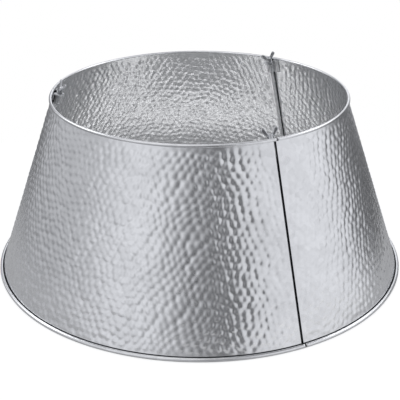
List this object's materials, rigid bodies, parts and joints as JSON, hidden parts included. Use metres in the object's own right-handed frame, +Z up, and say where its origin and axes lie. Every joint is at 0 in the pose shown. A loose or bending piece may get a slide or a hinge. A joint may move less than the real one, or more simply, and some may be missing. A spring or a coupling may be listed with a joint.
{
  "type": "christmas tree collar",
  "caption": "Tapered hammered-steel collar that stands round a tree's base, in panels with wired rims that wing bolts clamp together at hemmed seams.",
  "frame": {"origin": "on the floor at the middle of the ring, under the base rim", "axes": "+Z up the collar, away from the floor; -Y towards the viewer of the picture, who sees the front panel and part of the right one"},
  "size_m": [0.6598, 0.6598, 0.2949],
  "materials": {
    "hammered_galvanised_sheet": "hammered galvanised sheet, bright satin",
    "drawn_wire": "drawn steel wire",
    "galvanised_bracket": "galvanised, dull",
    "zinc_plated_washer": "zinc plated",
    "zinc_plated_wing_bolt": "cast, zinc plated"
  },
  "bodies": {
    "front": {"front_panel": "hammered_galvanised_sheet", "front_top_wire": "drawn_wire", "front_base_wire": "drawn_wire", "front_seam_barrel": "galvanised_bracket", "left_seam_tab": "galvanised_bracket"},
    "right": {"right_panel": "hammered_galvanised_sheet", "right_top_wire": "drawn_wire", "right_base_wire": "drawn_wire", "back_seam_barrel": "galvanised_bracket", "front_seam_tab": "galvanised_bracket"},
    "back": {"back_panel": "hammered_galvanised_sheet", "back_top_wire": "drawn_wire", "back_base_wire": "drawn_wire", "left_seam_barrel": "galvanised_bracket", "back_seam_tab": "galvanised_bracket"},
    "left_washer": {"left_seam_washer": "zinc_plated_washer"},
    "left_wing_bolt": {"left_seam_wing_bolt": "zinc_plated_wing_bolt"},
    "front_washer": {"front_seam_washer": "zinc_plated_washer"},
    "front_wing_bolt": {"front_seam_wing_bolt": "zinc_plated_wing_bolt"},
    "back_washer": {"back_seam_washer": "zinc_plated_washer"},
    "back_wing_bolt": {"back_seam_wing_bolt": "zinc_plated_wing_bolt"}
  },
  "joints": [
    {"name": "right_panel_draw", "type": "slide", "parent": "front", "child": "right", "axis": [0.984, -0.0602, 0.1679], "range_m": [0, 0.3]},
    {"name": "back_panel_draw", "type": "slide", "parent": "front", "child": "back", "axis": [-0.4399, 0.8822, 0.1679], "range_m": [0, 0.3]},
    {"name": "left_bolt_lift", "type": "slide", "parent": "back", "child": "left_washer", "axis": [0.3219, -0.0197, 0.9466], "range_m": [0, 0.00801]},
    {"name": "left_bolt_turn", "type": "hinge", "parent": "left_washer", "child": "left_wing_bolt", "pos_m": [-0.2204, 0.01348, 0.27522], "axis": [0.3219, -0.0197, 0.9466], "range_deg": [0, 3600]},
    {"name": "front_bolt_lift", "type": "slide", "parent": "front", "child": "front_washer", "axis": [-0.1439, 0.2886, 0.9466], "range_m": [0, 0.00801]},
    {"name": "front_bolt_turn", "type": "hinge", "parent": "front_washer", "child": "front_wing_bolt", "pos_m": [0.09852, -0.19761, 0.27522], "axis": [-0.1439, 0.2886, 0.9466], "range_deg": [0, 3600]},
    {"name": "back_bolt_lift", "type": "slide", "parent": "right", "child": "back_washer", "axis": [-0.178, -0.2689, 0.9466], "range_m": [0, 0.00801]},
    {"name": "back_bolt_turn", "type": "hinge", "parent": "back_washer", "child": "back_wing_bolt", "pos_m": [0.12187, 0.18413, 0.27522], "axis": [-0.178, -0.2689, 0.9466], "range_deg": [0, 3600]}
  ],
  "couplings": [
    {"joint": "left_bolt_lift", "follows": "left_bolt_turn", "m_per_rad": 0.00012732},
    {"joint": "front_bolt_lift", "follows": "front_bolt_turn", "m_per_rad": 0.00012732},
    {"joint": "back_bolt_lift", "follows": "back_bolt_turn", "m_per_rad": 0.00012732}
  ]
}
